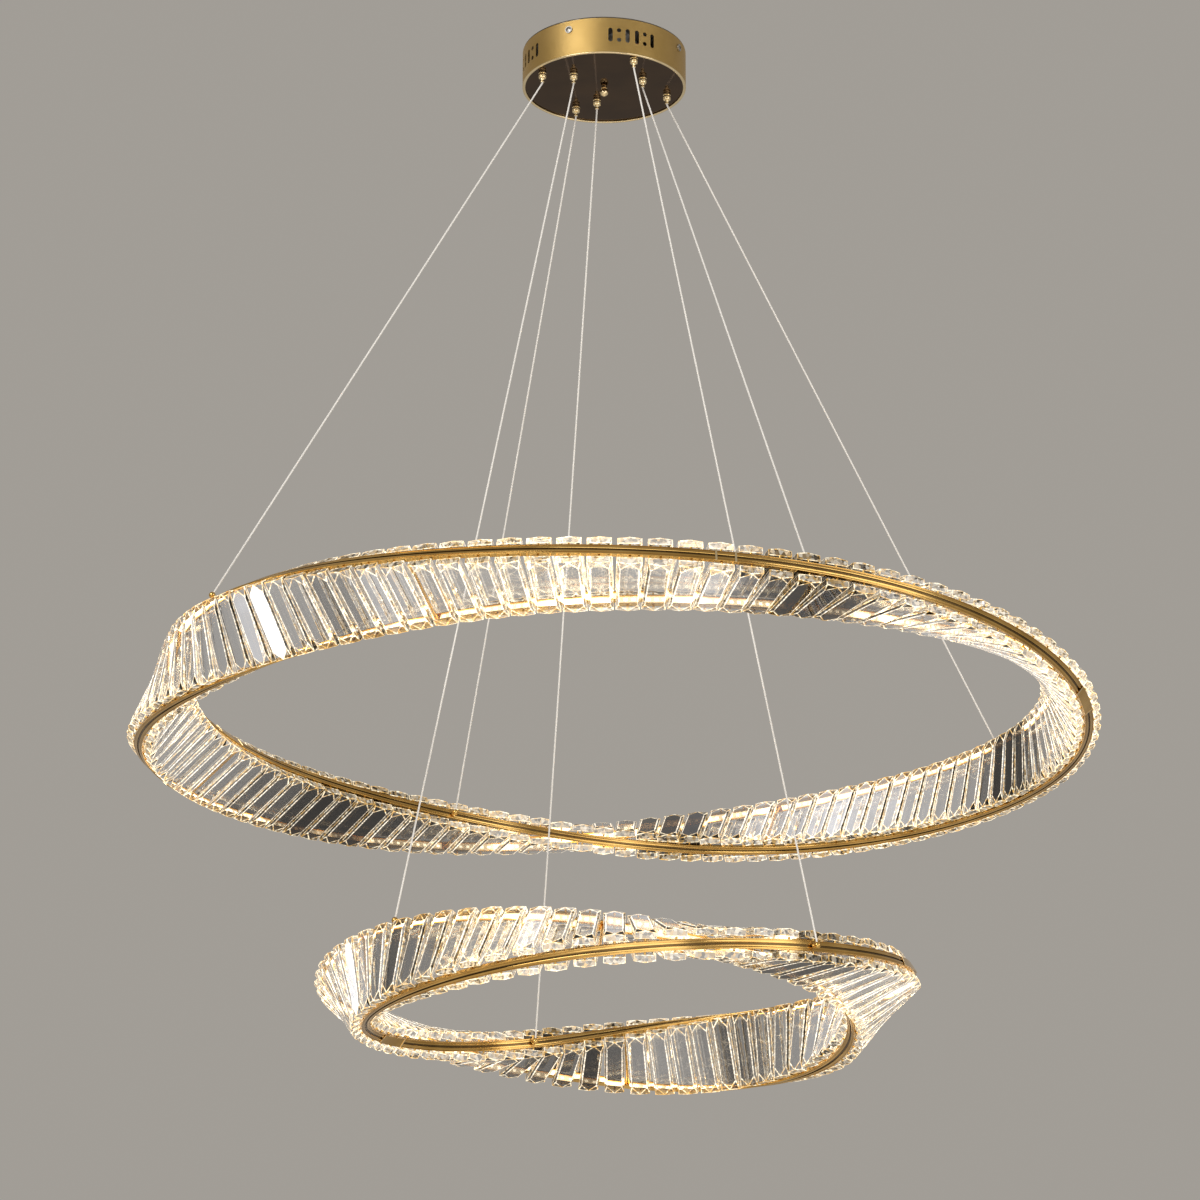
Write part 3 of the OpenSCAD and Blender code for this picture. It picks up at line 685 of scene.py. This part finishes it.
# Sum of bell curves round the ring
def humps(angle, bells):
    total = 0 * angle
    for middle, spread, height in bells:
        away = (angle - middle + 180) % 360 - 180
        total = total + height * np.exp(-(away / spread) ** 2)
    return total


# Each vector over its own length
def unit(vectors):
    return vectors / np.linalg.norm(vectors, axis=1, keepdims=True)


# Two layers of bars across the band, back to back; each bar leans a little at random, as pinned bars do
def makeCrystals(key, ring):
    s = crystalShape
    points, triangles, marks, kinds = crystalTriangles(ring["crystalWidth"])
    bars, count = ring["count"], len(points)
    local = points * mm
    local[:, 2] += s["near"] * mm
    angles = barAngles(ring)
    across, along, out = bandAxes(ring, angles)
    middles = bandPoint(ring, angles, 0.0, 0.0)
    tone = crystalTone[key]
    for letter, face in (("a", 1), ("b", -1)):
        y, z = along * face, out * face
        lean = np.radians(rng.normal(0, s["jitter"], (2, bars, 1)))
        zz = unit(z + lean[0] * across + lean[1] * y)
        xx = unit(across - np.sum(across * zz, axis=1, keepdims=True) * zz)
        yy = np.cross(zz, xx)
        placed = (middles[:, None] + local[None, :, 0:1] * xx[:, None] + local[None, :, 1:2] * yy[:, None]
                  + local[None, :, 2:3] * zz[:, None])
        faces = (triangles[None] + count * np.arange(bars)[:, None, None]).reshape(-1, 3)
        # each bar's painted shade, painted sheen and painted glitter from the bells and a random spread, then
        # its painted glow
        values = {look: np.clip(humps(angles, tone[look]) * rng.uniform(0.6, 1.25, bars), 0, most)
                  for look, most in toneLimits.items()}
        glow = (baseGlow + humps(angles, tone["glow"])) * rng.uniform(0.8, 1.15, bars)
        values["glow"] = np.clip(glow, 0.4, 1.5)
        makePiece(f"{key}_crystal_bars_{letter}", placed, [faces], glass, ring["body"],
                  [f"{key}_crystals_{letter}"], corners=np.broadcast_to(marks[None], (bars,) + marks.shape),
                  perPoint={look: np.repeat(numbers, count) for look, numbers in values.items()},
                  perCorner={kind: np.broadcast_to(kinds[None, :, :, i], (bars,) + kinds.shape[:2])
                             for i, kind in enumerate(("table", "side", "end"))})


for key, ring in rings.items():
    makeRails(key, ring)
    makeCovers(key, ring)
    makePosts(key, ring)
    makeCrystals(key, ring)
    print(key, "ring made")

# Grippers, cables and anchors, in millimetres. Grip spots are (x, y) under the canopy, and cableEnds gives
# the ring, the angle and the rail's side of each cable's anchor, in the same order.
gripSpots = np.array([(-75, -39), (-37, -37), (-35, 57), (-9, 37), (36, -80), (47, -25), (77, 22)]) * 0.95
cableEnds = [("upper", 215, 1), ("lower", 216, -1), ("upper", 115, 1), ("lower", 112, 1), ("lower", 308, 1),
             ("upper", 298, -1), ("upper", 29, -1)]
cableShape = {"radius": 1.0, "sides": 10, "top": -30.4, "bend": -55.6, "steps": 13, "gap": 0.05}
anchorShape = {"out": 48.7, "ball": 3.5, "arc": (-62, 78), "tip": 52.2}
gripperProfile = [(1.35, -49.9), (3.3, -49.9), (3.9, -49.6), (4.4, -48.9), (4.5, -48.2), (4.0, -47.6),
                  (3.9, -47.2), (4.4, -46.7), (4.5, -45.9), (4.45, -45.0), (3.9, -44.4), (3.9, -44.0),
                  (4.5, -43.6), (4.5, -43.0), (3.0, -42.95), (3.0, -33.4), (1.35, -33.4)]
sleeveProfile = [(1.35, -54.4), (1.9, -54.4), (2.25, -54.1), (2.3, -53.6), (1.95, -53.1), (1.9, -51.6),
                 (2.2, -51.1), (2.3, -50.6), (2.3, -46.0), (1.35, -45.9)]


# Taut cable from inside its gripper to the ball of its anchor. The ring carries it up.
def makeCable(number, x, y, key, angle, side):
    ring = rings[key]
    top = np.array([x, y, cableShape["top"]]) * mm
    bend = np.array([x, y, cableShape["bend"]]) * mm
    ball = bandPoint(ring, np.float64(angle), side * anchorShape["out"], 0.0)
    reach = ball - bend
    goal = ball - reach / np.linalg.norm(reach) * (anchorShape["ball"] + cableShape["gap"]) * mm
    share = np.linspace(0, 1, cableShape["steps"])[:, None]
    path = np.concatenate([[top], bend + (goal - bend) * share])
    points, faces, ends = tube(path, cableShape["radius"] * mm, cableShape["sides"])
    cable = makePiece(f"suspension_cable_{number}", points, [faces, ends], cableCover, ring["body"],
                      [f"cable_{number}"], smooth=40)
    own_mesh(cable)


# Upright turned piece with a hole through it, standing at (x, y)
def makeHollow(name, profile, x, y, sides, body, stands, smooth):
    points, faces, ends = turned(profile, np.array([x, y, 0]) * mm, (0, 0, 1), sides)
    makePiece(name, points, [faces, boreFaces(len(profile), sides)], paleGoldAndHighlight, body, stands,
              smooth=smooth)


for i, ((x, y), (key, angle, side)) in enumerate(zip(gripSpots, cableEnds), 1):
    makeCable(i, x, y, key, angle, side)
    makeHollow(f"cable_gripper_{i}", gripperProfile, x, y, 28, "canopy",
               [f"gripper_{i}"], 35)
    makeHollow(f"release_sleeve_piece_{i}", sleeveProfile, x, y, 28, f"release_sleeve_{i}",
               [f"release_{i}"], 35)
print("cables and grippers made")


# Ball in a profile, as points on a circle from one angle in degrees to another
def ballPoints(radius, height, low, high, count):
    return [(radius * math.cos(t), height + radius * math.sin(t))
            for t in np.radians(np.linspace(low, high, count))]


# Anchor: flange on the rail, waisted neck, ball and a small cap, all turned
anchorProfile = [(0.01, 43.5), (2.9, 43.5), (3.0, 43.8), (2.8, 44.3), (1.9, 44.7), (1.7, 45.1), (1.9, 45.5)]
anchorProfile += ballPoints(anchorShape["ball"], anchorShape["out"], *anchorShape["arc"], 11)
anchorProfile += [(0.01, anchorShape["tip"])]


# One anchor for each cable of the ring, turned about the band's across direction
def makeAnchors(key, ring):
    spots = []
    for angle, side in [(angle, side) for name, angle, side in cableEnds if name == key]:
        across, along, out = bandAxes(ring, np.float64(angle))
        spots.append((bandPoint(ring, np.float64(angle), 0.0, 0.0), across * side))
    points, faces = gather(turnings(anchorProfile, spots, 24))
    makePiece(f"{key}_cable_anchors", points, faces, polishedGold, ring["body"],
              [f"{key}_anchors"], smooth=35)


for key, ring in rings.items():
    makeAnchors(key, ring)

# canopy trim: the gold ball with its neck and stem, and the rounded bead of the canopy's lower edge,
# a little more than a half circle carried round
finialProfile = [(0.01, -54.6), (1.1, -54.5), (1.5, -54.2), *ballPoints(5.0, -49.3, -70, 62, 13),
                 (2.0, -44.7), (2.1, -44.5), (3.4, -44.4), (3.5, -43.9), (3.3, -43.1), (2.0, -42.95),
                 (2.0, -35.4), (0.01, -35.4)]
lipShape = {"radius": 93.4, "height": -43.9, "wide": 1.75, "tall": 0.9}


def makeTrim():
    points, faces, ends = turned(finialProfile, np.zeros(3), (0, 0, 1), 32)
    makePiece("finial_ball", points, [faces, ends], paleGoldAndHighlight, "canopy", ["finial"],
              smooth=35)
    lip = lipShape
    profile = [(lip["radius"] + lip["wide"] * math.cos(t), lip["height"] - lip["tall"] * math.sin(t))
               for t in np.radians(np.linspace(200, -20, 10))]
    # the lip's pale gold is painted highlight along the canopy's lower edge
    makeHollow("canopy_lip", profile, 0, 0, 160, "canopy", (), 50)


makeTrim()
print("canopy made")


# Outward normals on the turned and swept pieces; the crystals are made with theirs
def faceOutward():
    for piece in bpy.context.scene.objects:
        if piece.type == "MESH" and piece.name not in nodes and "_crystal_bars_" not in piece.name:
            work = bmesh.new()
            work.from_mesh(piece.data)
            bmesh.ops.recalc_face_normals(work, faces=work.faces)
            work.to_mesh(piece.data)
            work.free()


faceOutward()

# stage and light, in metres; lamps are (place, size, power in watts, whether shiny pieces mirror it)
stage = {"floor": -3.0, "size": 60.0, "floorColor": (0.84, 0.79, 0.72), "backdrop": (0.36, 0.338, 0.307),
         "fill": (0.42, 0.42, 0.42), "patchRadius": 0.0945, "patchHeight": 0.0006, "patchSides": 96}
lamps = {"key": ((-2.2, -3.0, 0.6), 2.2, 70.0, True), "fill": ((2.8, -2.4, -0.6), 2.4, 36.0, True),
         "rim": ((0.6, 3.2, 0.9), 2.4, 45.0, False), "low": ((0.2, -2.4, -2.5), 2.0, 17.0, True)}


# One flat face through the corners, as stage
def stagePiece(name, corners, material):
    mesh = bpy.data.meshes.new(name)
    mesh.from_pydata(corners, [], [list(range(len(corners)))])
    mesh.materials.append(material)
    piece = bpy.data.objects.new(name, mesh)
    bpy.context.scene.collection.objects.link(piece)


def makeFloor():
    material, tree, shader = newMaterial("pale floor")
    pale = stage["floorColor"]
    drift = noise(tree, objectPoint(tree), 0.7, 3.0)
    shade = tuple(0.96 * c for c in pale)
    tree.links.new(mixColor(tree, drift, (*shade, 1), (*pale, 1)), shader.inputs["Base Color"])
    shader.inputs["Roughness"].default_value = 0.9
    h, z = stage["size"], stage["floor"]
    stagePiece("pale floor", [(-h, -h, z), (h, -h, z), (h, h, z), (-h, h, z)], material)


# Patch of ceiling over the canopy, which keeps the canopy's inside dark; from above it is see-through
def makeCeilingPatch():
    material, tree, shader = newMaterial("ceiling patch")
    drift = noise(tree, objectPoint(tree), 30.0, 2.0)
    tree.links.new(mixColor(tree, drift, (0.5, 0.48, 0.45, 1), (0.56, 0.54, 0.5, 1)),
                   shader.inputs["Base Color"])
    above = combine(tree, "MAXIMUM", addNode(tree, "NewGeometry").outputs["Backfacing"],
                    addNode(tree, "LightPath").outputs["Transparent Depth"])
    clear = addNode(tree, "BsdfTransparent")
    both = addNode(tree, "MixShader", {0: above, 1: shader.outputs["BSDF"], 2: clear.outputs["BSDF"]})
    output = [node for node in tree.nodes if node.type == "OUTPUT_MATERIAL"][0]
    tree.links.new(both.outputs[0], output.inputs["Surface"])
    r = stage["patchRadius"]
    turn = np.linspace(0, 2 * math.pi, stage["patchSides"], endpoint=False)
    stagePiece("ceiling patch", [(r * math.cos(t), -r * math.sin(t), stage["patchHeight"]) for t in turn],
               material)


# Pale backdrop for whatever is seen directly, mirrored or through the glass, plain grey light for the rest
def makeBackdrop():
    world = bpy.data.worlds.new("plain room")
    bpy.context.scene.world = world
    world.use_nodes = True
    tree = world.node_tree
    tree.nodes.clear()
    rays = tree.nodes.new("ShaderNodeLightPath")
    bent = combine(tree, "MAXIMUM", rays.outputs["Is Glossy Ray"], rays.outputs["Is Transmission Ray"])
    shown = combine(tree, "MAXIMUM", rays.outputs["Is Camera Ray"], bent)
    color = mixColor(tree, shown, (*stage["fill"], 1), (*stage["backdrop"], 1))
    back = addNode(tree, "Background", {"Color": color})
    output = tree.nodes.new("ShaderNodeOutputWorld")
    tree.links.new(back.outputs["Background"], output.inputs["Surface"])


# Square lamps, each turned to face the middle of the chandelier
def makeLamps():
    target = np.array([0.0, 0.0, -0.7])
    for name, (place, size, power, mirrored) in lamps.items():
        data = bpy.data.lights.new(name, "AREA")
        data.shape = "SQUARE"
        data.size = size
        data.energy = power
        lamp = bpy.data.objects.new(name, data)
        lamp.location = place
        lamp.visible_transmission = False  # the crystals show the plain backdrop, not the lamps
        lamp.visible_glossy = mirrored
        away = target - np.array(place)
        tilt = math.acos(-away[2] / np.linalg.norm(away))
        lamp.rotation_euler = (tilt, 0, math.atan2(away[1], away[0]) - math.pi / 2)
        bpy.context.scene.collection.objects.link(lamp)


makeFloor()
makeBackdrop()
makeCeilingPatch()
makeLamps()
bpy.context.scene.view_settings.view_transform = "Standard"
print("stage and lamps made")
